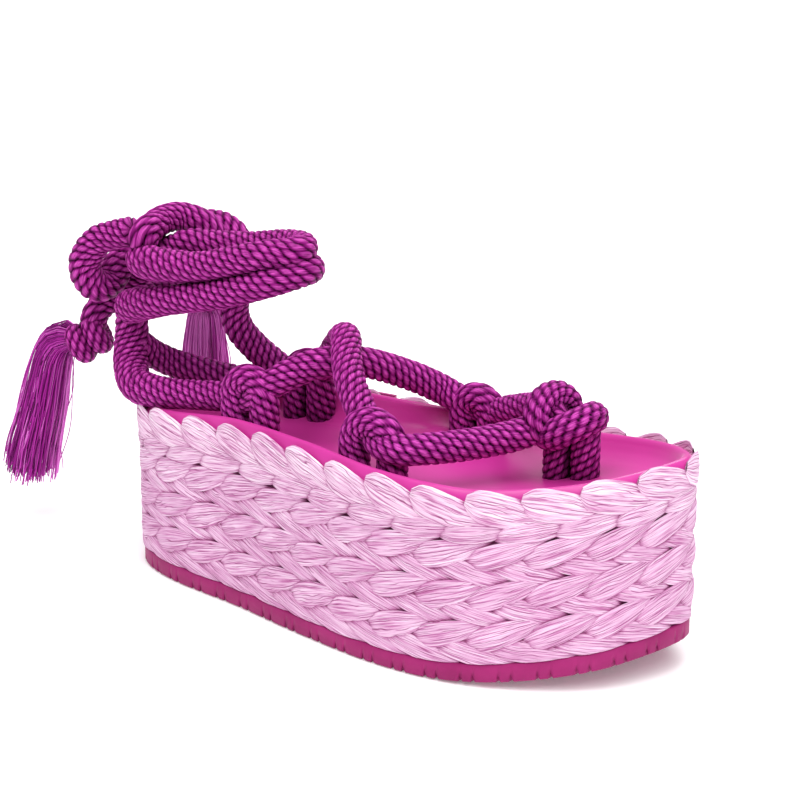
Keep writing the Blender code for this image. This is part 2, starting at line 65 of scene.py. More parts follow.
# Lights: place and aim in metres, size in metres, power in watts
Lamp = namedtuple("Lamp", "name place aim size power")
LAMPS = [
    Lamp("softbox_above", (0.10, -0.30, 1.30), (0.0, 0.0, 0.05), 1.0, 6.0),
    Lamp("softbox_front", (1.05, -0.60, 0.65), (0.05, 0.0, 0.06), 0.8, 3.2),
    Lamp("softbox_back", (-0.25, 0.95, 0.95), (0.0, 0.0, 0.08), 0.7, 6.0),
]
SKY_PLACE = (0.3, -0.45, 1.6)
SKY_SPREAD = math.radians(70.0)
SKY_POWER = 2.2
WORLD_STRENGTH = 0.38
WHITE = (1.0, 1.0, 1.0)

# Floor: half its side in metres, drop below the sole, colour, own glow and roughness
FLOOR_HALF = 5.0
FLOOR_DROP = 0.2
FLOOR_TONE = (0.95, 0.95, 0.95)
FLOOR_GLOW = 0.14
FLOOR_ROUGHNESS = 0.9

# Short rays that find where pieces touch, for painted shade there: number, outward lean, and for rope and
# raffia their length and start off the surface. For raffia the result is smoothed along each strand.
OPEN_RAYS = 8
OPEN_LEAN = 0.5
ROPE_OPEN = (3.2, 0.35)
STRAND_OPEN = (2.8, 0.25)
SMOOTHING_PASSES = 2
NEIGHBOUR_SHARE = 0.25

# Sole sections from heel to toe: outer and inner edge, floor rise (toe spring), height of the raffia's top
# edge, height of the footbed's rim above that edge on each side, and depth of the footbed below it
Section = namedtuple("Section", "x outer inner rise top rim_outer rim_inner depth")
SECTIONS = [
    Section(1.0, 1.5, 1.5, 0.0, 69.0, 0.0, 0.0, 7.0),
    Section(9.0, -18.4, 21.5, 0.0, 69.6, 0.2, 0.2, 8.0),
    Section(33.0, -30.0, 32.7, 0.0, 72.2, 1.0, 1.0, 9.5),
    Section(75.0, -36.9, 32.0, 0.0, 76.2, 3.0, 1.5, 10.5),
    Section(115.0, -45.4, 33.0, 0.0, 77.4, 3.0, 1.0, 10.0),
    Section(155.0, -51.2, 42.4, 0.0, 76.3, 2.0, 0.4, 8.5),
    Section(190.0, -49.0, 48.3, 0.9, 76.2, 1.4, 0.2, 7.5),
    Section(219.0, -37.1, 45.0, 4.4, 79.0, 1.0, 0.2, 7.0),
    Section(242.0, -17.7, 34.0, 9.0, 82.6, 0.8, 0.2, 6.5),
    Section(253.5, 15.0, 15.0, 11.9, 84.6, 0.6, 0.6, 6.0),
]

# Share of the stations at heel and toe that face an end of the centre line, and least width for the rim
SPINE_CLAMP = 0.087
NARROWEST_WIDTH = 20.0

# Outsole: thickness, chamfer, stations around its edge and depth of its grooves, which lie in pairs. Their
# half width, half their distance and the pairs' period are counted in stations.
OUTSOLE_THICKNESS = 7.7
OUTSOLE_CHAMFER = 0.8
OUTSOLE_STATIONS = 1200
GROOVE_DEPTH = 3.2
GROOVE_HALF_WIDTH = 2
GROOVE_PAIR_OFFSET = 5
GROOVE_PERIOD = 30

# Raffia rows from the bottom up: lean in degrees (positive rises to the toe on the outer side), place along
# the wall in shares of a strand, lift off the wall, half length and half width of a strand, how far its
# front end lies deeper than its back end, how far both dive under their neighbours, and its widths
Row = namedtuple("Row", "lean phase lift half_length half_width slope dive widths")
WIDTH_PLACES = (-1.0, -0.8, -0.55, -0.3, 0.05, 0.4, 0.75, 1.0)
STRIP = (0.55, 0.80, 0.95, 1.0, 1.0, 0.95, 0.80, 0.50)
LEAF = (0.05, 0.50, 0.88, 1.0, 0.96, 0.76, 0.38, 0.04)
BLUNT_LEAF = (0.26, 0.74, 0.96, 1.0, 0.92, 0.70, 0.36, 0.04)
ROUND_LEAF = (0.38, 0.86, 1.0, 1.0, 0.94, 0.78, 0.42, 0.05)
UNDER = Row(-18.0, 0.87, -0.25, 16.0, 4.5, 0.20, 1.0, STRIP)
LOWEST = Row(-16.0, 0.87, -0.25, 18.5, 4.4, 0.20, 1.1, STRIP)
OVER = Row(14.5, 0.50, 0.20, 18.0, 5.2, 0.15, 1.1, BLUNT_LEAF)
ROWS = [
    LOWEST, OVER, UNDER, OVER, UNDER, OVER,
    Row(5.0, 0.96, 0.20, 17.0, 4.6, 0.30, 0.9, LEAF),
    Row(-15.5, 0.50, 0.45, 17.0, 6.5, 0.45, 0.5, ROUND_LEAF),
]
ROWS_OF_PIECES = {"raffia_lower": (0, 1, 2), "raffia_middle": (3, 4, 5), "raffia_plait": (6, 7)}

# Strands of raffia: number in a row, form of front, back and tips, drop of the top row, offset, mesh
# points, ranges of size, step of their numbers, form of the dive, fibres, random shares, gap at the outsole
STRANDS_AROUND = 27
STRAND_BULGE = 0.95
STRAND_ROUNDNESS = 0.75
STRAND_BACK_DEPTH = 0.5
STRAND_END = 0.995
STRAND_TOP_DROP = 3.0
STRAND_BASE = 0.1
STRAND_ALONG = 26
STRAND_FRONT = 17
STRAND_BACK = 5
STRAND_WIDTHS = (0.95, 1.07)
STRAND_LENGTHS = (0.96, 1.05)
STRAND_NUMBER_STEP = 2.7
DIVE_POWER = 3
FIBRES = 9
FIBRE_RELIEF = 0.22
PLACE_JITTER = 0.4
LEAN_JITTER = 0.025
WALL_GAP = 0.3

# Core behind the raffia: inset of its wall, stations, inset of its hollow, and how far its edge and the
# hollow's floor lie below the raffia's top edge
CORE_INSET = 0.9
CORE_STATIONS = 240
HOLLOW_INSET = 3.0
CORE_EDGE = 5.0
HOLLOW_FLOOR = 16.0

# Footbed ring profile: inset from the outline, share of the height from the footbed's floor to its rim. It
# is smoothed at about its true proportions, for which the shares are stretched.
FOOTBED_RINGS = [
    (0.1, 0.40), (0.8, 0.66), (1.5, 0.81), (2.5, 0.95), (3.6, 1.0), (4.7, 0.96), (5.6, 0.84), (6.8, 0.62),
    (9.5, 0.28), (14.0, 0.06), (19.0, 0.0),
]
FOOTBED_STRETCH = (1, 8)
FOOTBED_SEAT = 12.0
FOOTBED_STATIONS = 240
FOOTBED_RING_STEP = 0.7
FOOTBED_INNER_SHARES = (0.3, 0.65, 0.97)

# Rope: its radius, that of its crests, depth between these, lobes around it, helical rows of lobes, their
# pitch, mesh step and points around it, bulge of its ends in radii, a direction square to its first normal
ROPE_RADIUS = 6.0
ROPE_CREST = 6.3
ROPE_RELIEF = 1.25
ROPE_COLUMNS = 11
ROPE_RIDGES = 6
ROPE_PITCH = 3.3
ROPE_ROW = 0.55
ROPE_SIDES = 77
ROPE_END_BULGE = 0.125
SQUARE_TO_NORMAL = (0.0, 0.3, 1.0)

# Lobes of the rope: lean to its axis, slant in their row, sharpness of ends and sides, drop at the sides
LOBE_LEAN = 0.34
LOBE_SHEAR = 0.72
LOBE_END_POWER = 3.0
LOBE_SIDE_POWER = 4.4
LOBE_SIDE = 0.74

# Rope anchors, two in front and two behind: legs through the footbed and a crown that presses the strap
Anchor = namedtuple("Anchor", "x_back x_front y crown")
ANCHORS = [
    Anchor(134.0, 152.0, -34.5, 91.0),
    Anchor(142.0, 155.5, 28.0, 86.5),
    Anchor(66.5, 81.0, -24.5, 93.5),
    Anchor(62.5, 75.0, 20.0, 89.0),
]
LEG_DEPTH = 13.3
LEG_STRAIGHT = 9.0
# Painted shade on the rope legs: least share of openness at the footbed, and the height over which it fades
LEG_SHADE = 0.42
LEG_SHADE_HEIGHT = 15.0
CROWN_POINTS = 5
PRESS_DROP = 8.0
PRESS_DEPTH = 0.30
PRESS_WIDTH = 9.0

# Two rope legs of the toe post, and the knot on them: a turn over the straps and one round the legs
TOE_LEGS = ((199.9, 7.5), (211.4, 9.3))
TOE_LEG_TOP = 93.0
TOE_LEG_SWELL = ((0, 0.92), (1, 0.92))
Turn = namedtuple("Turn", "centre axis_one axis_two")
TOE_KNOT_TURNS = [
    Turn((197.0, 9.0, 93.0), (1.0, 8.6, 1.0), (-2.0, 0.0, 6.8)),
    Turn((206.0, 8.5, 90.5), (7.4, 0.0, 4.2), (0.0, 8.2, 0.0)),
]
TURN_POINTS = 14

# Rope routes, chosen points along each strap
STRAP_ROUTES = {
    "outer_strap": [
        (204, 8, 94), (196, 4, 90), (187, -7, 86.5), (176, -22, 85), (166, -33, 84.5), (156, -37.5, 83.5),
        (146, -36.5, 83.5), (138, -30, 86.5), (129, -25, 93), (120, -19, 100), (111.5, -10, 106),
        (104.5, -1, 109.5), (96, 8, 107), (86.5, 15, 99), (77, 19, 88), (69, 20.5, 82), (58, 20.5, 82.5),
        (50, 19, 86.5), (42.5, 16, 93), (37.5, 12.5, 101), (36, 11.5, 110), (38.5, 13.2, 120.6),
    ],
    "inner_strap": [
        (199, 12.5, 95.4), (193, 15, 95), (180, 21, 90), (166, 26, 85), (156, 28.5, 81.5), (147, 29, 81),
        (139, 28.5, 84), (131, 26.5, 87.5), (122, 18, 93.5), (111, 3, 100.5), (100, -8, 101.5),
        (91, -15, 98), (82.5, -22.5, 92), (77, -26, 86.5), (70, -23, 82.5), (60, -19, 82),
        (44, -19, 80), (23, -19.5, 77.4), (6, -16.5, 76.8), (-4, -9.5, 82), (-8, -4, 92), (-8.5, -3, 104),
    ],
    "heel_sling": [
        (-6.5, -3, 91), (-4.5, 4, 84.5), (2, 10.5, 79.5), (15, 14.5, 77), (33, 17, 76), (50, 19, 77),
        (63, 20, 79),
    ],
}
ANKLE_WRAPS = {
    "lower_wrap": [
        (-8, -3, 106), (3, -10, 110), (18, -14, 114.5), (33, -14.5, 118.5), (51, -14.5, 123),
        (66, -13, 128), (77, -9, 132), (83, 0, 134.5), (78, 9, 133), (66, 12, 128.5), (50, 13, 124),
        (33, 13, 119.5), (15, 11.5, 114.5), (-1, 7, 109),
    ],
    "upper_wrap": [
        (3.5, -8, 129), (14, -13.5, 130), (26, -14.5, 131), (41, -14.5, 133), (57, -13.5, 137.5),
        (70, -10.5, 141), (80, -2, 142.3), (75.5, 8, 142), (63, 12, 140.3), (46, 12, 137), (30, 9.5, 135.5),
        (18, 7.5, 135), (8, 6, 131.6), (0.5, 1, 129),
    ],
}

# Thickness of the ropes where they bend or lie pressed: share of the way, factor
EVEN = ((0, 1), (1, 1))
SWELLS = {
    "lower_wrap": ((0, 1.2), (0.05, 1.18), (0.16, 1), (0.9, 1), (1, 1.2)),
    "upper_wrap": ((0, 1.18), (0.07, 1.18), (0.2, 1), (0.93, 1), (1, 1.18)),
    "bow_left": ((0, 1), (0.1, 1), (0.25, 1.12), (0.55, 1.12), (0.7, 1), (1, 0.95)),
    "inner_strap": ((0, 1), (0.76, 1), (0.84, 1.18), (0.95, 1.2), (1, 1.08)),
}

# Bow at the back: each rope end leaves the knot, makes a loop and goes on to its stopper knot
BOW_KNOT_ROUTE = [(4.5, -8.5, 136.2), (4.7, -8.7, 138.8), (4.2, -5.5, 141.2), (3.4, -1, 141.8)]
BOW_ROUTES = {
    "bow_left": [
        (-3.1, -7.2, 140.1), (-11, -8, 137.8), (-20, -10, 134), (-25.5, -12, 126), (-26, -11, 118),
        (-24.5, -6, 112.8), (-24, 1, 114), (-23, 6, 120), (-20, 12, 124), (-19, 19, 120),
        (-23, 20, 112), (-29, 14, 106), (-32.7, 7, 101.5), (-34, 2, 97.2),
    ],
    "bow_right": [
        (3.3, -0.5, 141.9), (2.2, 5.5, 143), (4.5, 14, 143.4), (10.5, 20.5, 140.5), (13, 25, 134.5),
        (8, 27, 127.5), (-1, 29, 126), (-6, 33, 130.5), (0, 37.5, 135), (9, 38, 135), (15.5, 38.5, 130.5),
        (16, 37, 123.5), (11.5, 35.2, 118.7), (6.9, 34, 117.1),
    ],
}

# Stopper knots and tassels at the ends of the bow; a knot's turns have an offset and a radius
Stopper = namedtuple("Stopper", "name centre axis")
STOPPERS = [
    Stopper("stopper_left", (-35.5, -1.0, 86.5), (0.70, 0.50, 0.50)),
    Stopper("stopper_right", (1.5, 33.0, 107.5), (0.80, 0.30, -0.50)),
]
STOPPER_TURNS = ((-4.2, 4.3), (4.2, 4.3))
STOPPER_STRAND = 4.7
TAIL_IN_KNOT = 0.5
# A tassel: its route, radius at top and end, number of threads, and painted light that lifts its threads'
# tone
Tassel = namedtuple("Tassel", "name route top_radius end_radius threads lighter")
TASSELS = [
    Tassel("tassel_left",
           [(-43.4, -1.9, 86.4), (-49.5, -2.8, 84.9), (-54.3, -3.5, 78.5), (-57.2, -4, 69),
            (-60.6, -4.6, 55), (-66, -5.4, 36), (-70.5, -6, 18)], 4.6, 12.2, 760, 0.0),
    Tassel("tassel_right",
           [(1.2, 33.3, 99.7), (0.6, 33.6, 88), (0, 34, 72), (-0.5, 34.3, 52), (-1, 34.6, 40)], 5.0, 11.5,
           560, 0.35),
]

# Threads of a tassel: locks, square of their reach, spread and shared tone in a lock, stray threads, their
# reach and swing, radius and mesh of a thread, its waves, the ragged end and how fast the tassel flares
LOCKS = 20
LOCK_REACH = 0.72
LOCK_SPREAD = 0.25
LOCK_TONE = 0.5
STRAY_THREADS = 26
STRAY_REACH = 1.22
STRAY_SWING = 3.0
THREAD_RADIUS = 0.26
THREAD_STATIONS = 18
THREAD_SIDES = 3
THREAD_WAVE = 0.55
THREAD_SWING = (0.4, 1.6)
THREAD_PACE = (5, 13)
THREAD_RAGGED = 0.09
FLARE_POWER = 0.38

# Colour ramps: place on the ramp, colour
# Rope by the braid's relief: painted shade in the creases between lobes, painted highlight on their crests
ROPE_CREASE_SHADE_AND_HIGHLIGHT = [
    (0.10, (0.020, 0.0003, 0.014)), (0.48, (0.130, 0.0035, 0.090)), (0.80, (0.300, 0.014, 0.210)),
    (1.0, (0.640, 0.080, 0.470)),
]
ROPE_STREAKS = [(0.36, (0.40, 0.26, 0.38)), (0.62, WHITE)]
# Rope by the share of open rays: painted shade where ropes touch one another
ROPE_CONTACT_SHADE = [
    (0.0, (0.02, 0.003, 0.015)), (0.30, (0.22, 0.09, 0.19)), (0.60, (0.70, 0.58, 0.68)), (0.85, WHITE),
]
THREAD_TONES = [(0.12, (0.07, 0.0008, 0.052)), (0.5, (0.44, 0.021, 0.347)), (0.92, (0.97, 0.28, 0.85))]
RAFFIA_TONES = [
    (0.36, (0.54, 0.19, 0.40)), (0.45, (0.79, 0.48, 0.69)), (0.55, (0.90, 0.70, 0.84)),
    (0.68, (0.97, 0.90, 0.95)),
]
# Raffia: painted shade in the creases between ribbons
RAFFIA_CREASE_SHADE = [(0.0, (0.33, 0.10, 0.22)), (0.06, (0.70, 0.45, 0.61)), (0.15, WHITE)]
RAFFIA_RIBBONS = [(0.1, (0.88, 0.77, 0.85)), (0.8, WHITE)]
# Raffia by row height: painted shade, the lower rows a little darker and pinker than the top rows
RAFFIA_LOW_ROW_SHADE = [(0.1, (0.91, 0.78, 0.88)), (0.7, (0.93, 0.83, 0.91)), (0.95, WHITE)]
RAFFIA_SHADES = [(0.0, (0.94, 0.87, 0.92)), (1.0, WHITE)]
# Raffia by the share of open rays: painted shade where strands touch and in the gaps between them
RAFFIA_CONTACT_SHADE = [
    (0.0, (0.10, 0.010, 0.05)), (0.35, (0.24, 0.055, 0.15)), (0.62, (0.52, 0.24, 0.40)),
    (0.85, (0.84, 0.67, 0.78)), (1.0, WHITE),
]
RAFFIA_EDGES = [(0.0, (0.0, 0.0, 0.0)), (0.2, WHITE)]

# Streaks along fibres: the numbers that they follow with a factor for each, scale and detail of the noise
Streak = namedtuple("Streak", "factors scale detail")
ROPE_THREADS = Streak({"turn_x": 14.0, "turn_y": 14.0, "along": 0.45}, 1.0, 3.0)
RAFFIA_FIBRES = Streak({"across": 8.0, "run": 0.8, "strand": 1.0}, 1.6, 6.0)
RAFFIA_WANDER = Streak({"across": 0.9, "run": 1.1, "strand": 1.0}, 1.0, 2.0)
RAFFIA_BREAKS = Streak({"across": 2.0, "run": 1.6, "strand": 3.1}, 1.0, 1.0)

# Sheen of the fibres: roughness, gloss and its tint; a bump has a strength and a depth in metres
ROPE_SHEEN = (0.50, 0.07, (1.0, 0.45, 0.90))
THREAD_SHEEN = (0.42, 0.20, (1.0, 0.5, 0.95))
RAFFIA_SHEEN = (0.60, 0.30)
ROPE_BUMP = (0.4, 0.0004)
RAFFIA_BUMP = (0.6, 0.0007)

# Ribbons in a strand of raffia: their scale, how far they wander and shift from strand to strand, and the
# noise that lets the creases between them fade, with the width at which they are gone
RIBBON_SCALE = 4.0
RIBBON_WANDER = 0.9
RIBBON_SHIFT = 1.37
BREAK_RANGE = (0.45, 0.62)
BREAK_WIDTH = 0.12

# Plain materials: roughness, gloss, scale and detail of their spots, dark and light tone, and for some the
# scale, detail and bump of a grain
Plain = namedtuple("Plain", "name roughness gloss spots spot_detail dark light grain grain_detail bump",
                   defaults=(None, None, None))
SPOT_RANGE = (0.3, 0.7)
# The core is coloured dark as painted shade, seen in the gaps between the raffia strands
CORE_SHADE_LOOK = Plain("raffia_core", 0.80, 0.50, 300.0, 4.0, (0.10, 0.010, 0.050), (0.22, 0.035, 0.13))
FOOTBED_LOOK = Plain("moulded_footbed", 0.30, 0.45, 14.0, 2.0, (0.55, 0.030, 0.282), (0.64, 0.044, 0.342),
                     1400.0, 2.0, (0.06, 0.0002))
RUBBER_LOOK = Plain("outsole_rubber", 0.50, 0.20, 60.0, 4.0, (0.28, 0.010, 0.112), (0.37, 0.018, 0.155),
                    900.0, 3.0, (0.15, 0.0003))
SEAM_LOOK = Plain("seam_leather", 0.45, 0.50, 120.0, 4.0, (0.36, 0.022, 0.165), (0.46, 0.036, 0.225),
                  1100.0, 4.0, (0.25, 0.0003))


def place(points):
    """World coordinates in metres of points given in millimetres from the heel."""
    return (np.asarray(points, float) - ORIGIN) * MILLIMETRE


def unit(vectors):
    return vectors / np.linalg.norm(vectors, axis=-1, keepdims=True)


def travel_along(points):
    """Distance of each point from the first, along the line of points."""
    return np.concatenate([[0], np.cumsum(np.linalg.norm(np.diff(points, axis=0), axis=1))])


def turn_angles(count):
    """Evenly spaced angles of one full turn."""
    return np.arange(count) * 2 * math.pi / count


def section_value(x, column):
    """Smooth value of a sole section's column at x."""
    xs = np.array([section.x for section in SECTIONS])
    values = np.array([getattr(section, column) for section in SECTIONS])
    slopes = np.gradient(values, xs)
    steps = np.diff(values)
    slopes[1:-1] *= steps[:-1] * steps[1:] > 0
    x = np.clip(x, xs[0], xs[-1])
    k = np.clip(np.searchsorted(xs, x) - 1, 0, len(xs) - 2)
    span = xs[k + 1] - xs[k]
    t = (x - xs[k]) / span
    start = values[k] * (1 + 2 * t) * (1 - t) ** 2 + slopes[k] * span * t * (1 - t) ** 2
    end = values[k + 1] * t ** 2 * (3 - 2 * t) - slopes[k + 1] * span * t ** 2 * (1 - t)
    return start + end


def smooth_curve(points, step, closed=False):
    """Points about a step apart on a Catmull-Rom curve through the given points."""
    knots = np.asarray(points, float)
    if closed:
        padded = np.vstack([knots[-1], knots, knots[:2]])
    else:
        padded = np.vstack([2 * knots[0] - knots[1], knots, 2 * knots[-1] - knots[-2]])
    t = np.linspace(0, 1, CURVE_SAMPLES, endpoint=False)[:, None]
    pieces = []
    for p0, p1, p2, p3 in zip(padded[:-3], padded[1:-2], padded[2:-1], padded[3:]):
        pieces.append(0.5 * (2 * p1 + (p2 - p0) * t + (2 * p0 - 5 * p1 + 4 * p2 - p3) * t ** 2
                             + (3 * p1 - p0 - 3 * p2 + p3) * t ** 3))
    dense = np.vstack(pieces + [padded[-2][None]])
    travel = travel_along(dense)
    count = max(2, round(travel[-1] / step))
    wanted = np.linspace(0, travel[-1], count + 1)
    if closed:
        wanted = wanted[:-1]
    return np.stack([np.interp(wanted, travel, dense[:, k]) for k in range(dense.shape[1])], axis=1)


class Outline:
    """The sole's edge as a closed curve, by distance from the back of the heel along the outer side."""

    def __init__(self):
        heel, toe = SECTIONS[0], SECTIONS[-1]
        outer = [(s.x, s.outer) for s in SECTIONS[1:-1]]
        inner = [(s.x, s.inner) for s in reversed(SECTIONS[1:-1])]
        around = [(heel.x, heel.outer)] + outer + [(toe.x, toe.outer)] + inner
        points = smooth_curve(around, OUTLINE_STEP, closed=True)
        self.loop = np.vstack([points, points[:1]])
        self.travel = travel_along(self.loop)
        self.length = self.travel[-1]

    def at(self, distance):
        """Points on the edge at the given distances."""
        distance = np.mod(distance, self.length)
        return np.stack([np.interp(distance, self.travel, self.loop[:, k]) for k in (0, 1)], axis=-1)

    def outward(self, distance):
        """Unit normals that point out of the sole."""
        ahead = unit(self.at(distance + 2 * OUTLINE_STEP) - self.at(distance - 2 * OUTLINE_STEP))
        return np.stack([ahead[..., 1], -ahead[..., 0]], axis=-1)

    def stations(self, count):
        """Evenly spaced edge points, and for each the point of the centre line that it faces."""
        points = self.at(np.arange(count) * self.length / count)
        half = count // 2
        clamp = round(SPINE_CLAMP * count)
        index = np.arange(count)
        from_heel = np.clip(np.where(index > half, count - index, index), clamp, half - clamp)
        spine = (points[from_heel] + points[count - from_heel]) / 2
        return points, spine


def inset_ring(points, spine, inset):
    """Edge points moved towards the centre line."""
    return points + unit(spine - points) * inset


def with_height(ring, height):
    return np.column_stack([ring, np.broadcast_to(height, len(ring))])


def bed_height(x):
    """Height of the footbed's floor at x."""
    return section_value(x, "top") - section_value(x, "depth")


def wall_span(x):
    """Lowest and highest height of the raffia wall at x."""
    return section_value(x, "rise") + OUTSOLE_THICKNESS + WALL_GAP, section_value(x, "top")


# Surfaces: points in millimetres, faces, named numbers per point that the materials read, and for some the
# direction out of the piece at each point
Surface = namedtuple("Surface", "points faces numbers facing", defaults=(None,))


def grid_faces(rows, columns, wrap_rows=False):
    """Quads of a grid that closes on itself across its columns."""
    i = np.arange(rows if wrap_rows else rows - 1)[:, None]
    j = np.arange(columns)[None, :]
    after_i = (i + 1) % rows
    after_j = (j + 1) % columns
    quads = np.stack([i * columns + j, i * columns + after_j, after_i * columns + after_j,
                      after_i * columns + j], axis=-1)
    return quads.reshape(-1, 4).tolist()


def repeated_faces(quads, size, count):
    """Quads of equal grids in a row, from those of one grid and its number of points."""
    starts = np.arange(count)[:, None, None] * size
    return (np.array(quads)[None] + starts).reshape(-1, 4).tolist()


def joined(surfaces):
    """One surface from several."""
    faces = []
    start = 0
    for surface in surfaces:
        faces += [[index + start for index in face] for face in surface.faces]
        start += len(surface.points)
    names = surfaces[0].numbers.keys()
    numbers = {name: np.concatenate([surface.numbers[name] for surface in surfaces]) for name in names}
    facing = np.concatenate([surface.facing for surface in surfaces])
    return Surface(np.concatenate([surface.points for surface in surfaces]), faces, numbers, facing)


def add_openness(surfaces, reach, start):
    """Number per point for painted shade: the share of short rays that meet no face, which is low where
    pieces touch.
    """
    together = joined(surfaces)
    tree = BVHTree.FromPolygons(together.points.tolist(), together.faces)
    turns = turn_angles(OPEN_RAYS)
    for surface in surfaces:
        front = surface.facing.any(axis=1)
        share = np.where(front, 0.0, OPEN_RAYS)
        for index in np.flatnonzero(front):
            ahead = Vector(surface.facing[index])
            beside = ahead.orthogonal().normalized()
            above = ahead.cross(beside)
            origin = Vector(surface.points[index]) + start * ahead
            for turn in turns:
                ray = OPEN_LEAN * ahead + math.cos(turn) * beside + math.sin(turn) * above
                share[index] += tree.ray_cast(origin, ray, reach)[0] is None
        surface.numbers["open"] = share / OPEN_RAYS


def flat_numbers(numbers, shape):
    """Numbers given per row or column, spread to every point of a grid."""
    return {name: np.broadcast_to(values, shape).reshape(-1) for name, values in numbers.items()}


def add_object(name, data):
    thing = bpy.data.objects.new(name, data)
    bpy.context.scene.collection.objects.link(thing)
    return thing


def add_piece(name, surface, finish, nodes=()):
    """Object from a surface: it rides on the sandal and stands for the named solids."""
    mesh = bpy.data.meshes.new(name)
    mesh.from_pydata(place(surface.points).tolist(), [], surface.faces)
    mesh.polygons.foreach_set("use_smooth", np.ones(len(mesh.polygons), bool))
    for number, values in surface.numbers.items():
        stored = mesh.attributes.new(number, "FLOAT", "POINT")
        stored.data.foreach_set("value", np.ascontiguousarray(values, np.float32))
    mesh.materials.append(finish)
    mesh.update()
    piece = add_object(name, mesh)
    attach(piece, "root")
    if nodes:
        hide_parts(*nodes)
    return piece


# Rope
def frames_along(points, closed):
    """Tangents and steady normals along a line."""
    if closed:
        tangents = unit(np.roll(points, -1, axis=0) - np.roll(points, 1, axis=0))
    else:
        tangents = unit(np.gradient(points, axis=0))
    side = np.cross(tangents[0], SQUARE_TO_NORMAL)
    normals = [unit(side)]
    for tangent in list(tangents[1:]) + ([tangents[0]] if closed else []):
        carried = normals[-1] - tangent * (normals[-1] @ tangent)
        normals.append(unit(carried))
    if closed:
        last = normals.pop()
        turn = math.atan2(np.cross(last, normals[0]) @ tangents[0], last @ normals[0])
        share = np.arange(len(points))[:, None] / len(points) * turn
        normals = np.array(normals)
        normals = normals * np.cos(share) + np.cross(tangents, normals) * np.sin(share)
    return tangents, np.array(normals)


def braid(around, twist, along, radius, length, hand):
    """Height of a solid braid: leaning lobes, side by side in helical ridges."""
    pitch = length / max(1, round(length / (ROPE_PITCH * radius / ROPE_RADIUS)))
    column_place = hand * around / (2 * math.pi) * ROPE_COLUMNS
    column = np.round(column_place)
    sideways = column_place - column
    turned = (column + LOBE_SHEAR * sideways) / ROPE_COLUMNS + twist / (2 * math.pi)
    course = along / pitch - ROPE_RIDGES * turned
    forwards = course - np.round(course)
    ends = np.abs(2 * forwards) ** LOBE_END_POWER
    sides = LOBE_SIDE * np.abs(2 * sideways) ** LOBE_SIDE_POWER
    return np.sqrt(np.clip(1 - ends - sides, 0, 1))


def rope(route, closed=False, radius=ROPE_RADIUS, hand=1, swell=EVEN):
    """Braided rope along a route; swell gives its thickness by share of the way."""
    points = smooth_curve(route, ROPE_ROW, closed)
    tangents, normals = frames_along(points, closed)
    sides = np.cross(tangents, normals)
    around = turn_angles(ROPE_SIDES)[None, :]
    along = travel_along(points)[:, None]
    length = along[-1, 0] + (np.linalg.norm(points[0] - points[-1]) if closed else 0.0)
    turns = LOBE_LEAN * length / (2 * math.pi * radius)
    twist = 2 * math.pi * (round(turns) if closed else turns) * along / length
    angles = around + hand * twist
    height = braid(around, twist, along, radius, length, hand)
    scale = radius / ROPE_RADIUS * np.interp(along / length, *zip(*swell))
    reach = scale * (ROPE_CREST + ROPE_RELIEF * (height - 1))
    spokes = np.cos(angles)[..., None] * normals[:, None] + np.sin(angles)[..., None] * sides[:, None]
    surface = points[:, None] + reach[..., None] * spokes
    rows = len(points)
    faces = grid_faces(rows, ROPE_SIDES, wrap_rows=closed)
    grid = surface.reshape(-1, 3)
    facing = spokes.reshape(-1, 3)
    numbers = {"relief": height, "turn_x": np.cos(around), "turn_y": np.sin(around), "along": along}
    numbers = flat_numbers(numbers, height.shape)
    if not closed:
        first, last = len(grid), len(grid) + 1
        bulge = ROPE_END_BULGE * radius
        grid = np.vstack([grid, points[0] - tangents[0] * bulge, points[-1] + tangents[-1] * bulge])
        facing = np.vstack([facing, -tangents[0], tangents[-1]])
        numbers = {name: np.append(values, [values[0], values[-1]]) for name, values in numbers.items()}
        top = (rows - 1) * ROPE_SIDES
        for j in range(ROPE_SIDES):
            after = (j + 1) % ROPE_SIDES
            faces.append([first, after, j])
            faces.append([last, top + j, top + after])
    return Surface(grid, faces, numbers, facing)


def pressed(route, swell):
    """Thickness of a strap by share of its way: thinner where it goes through an anchor."""
    points = smooth_curve(route, OUTLINE_STEP)
    share = np.linspace(0, 1, len(points))
    factor = np.interp(share, *zip(*swell))
    for anchor in ANCHORS:
        centre = ((anchor.x_back + anchor.x_front) / 2, anchor.y, anchor.crown - PRESS_DROP)
        distance = np.linalg.norm(points - centre, axis=1)
        factor = factor - PRESS_DEPTH * np.exp(-(distance / PRESS_WIDTH) ** 2)
    return list(zip(share, factor))


def leg(x, y):
    """Straight lower end of a rope leg, from its foot in the sole upwards."""
    foot = section_value(x, "top") - LEG_DEPTH
    return [(x, y, foot), (x, y, foot + LEG_STRAIGHT)]


def anchor_route(anchor):
    """Up one leg, over a round crown and down the other leg."""
    radius = (anchor.x_front - anchor.x_back) / 2
    centre_x = (anchor.x_front + anchor.x_back) / 2
    centre_z = anchor.crown - radius
    route = leg(anchor.x_back, anchor.y)
    for angle in np.linspace(math.pi, 0, CROWN_POINTS):
        route.append((centre_x + radius * math.cos(angle), anchor.y, centre_z + radius * math.sin(angle)))
    return route + leg(anchor.x_front, anchor.y)[::-1]


def turn_route(turn):
    """Closed oval of rope from a centre and two half axes."""
    angles = turn_angles(TURN_POINTS)
    one = np.cos(angles)[:, None] * np.array(turn.axis_one)
    two = np.sin(angles)[:, None] * np.array(turn.axis_two)
    return np.array(turn.centre) + one + two


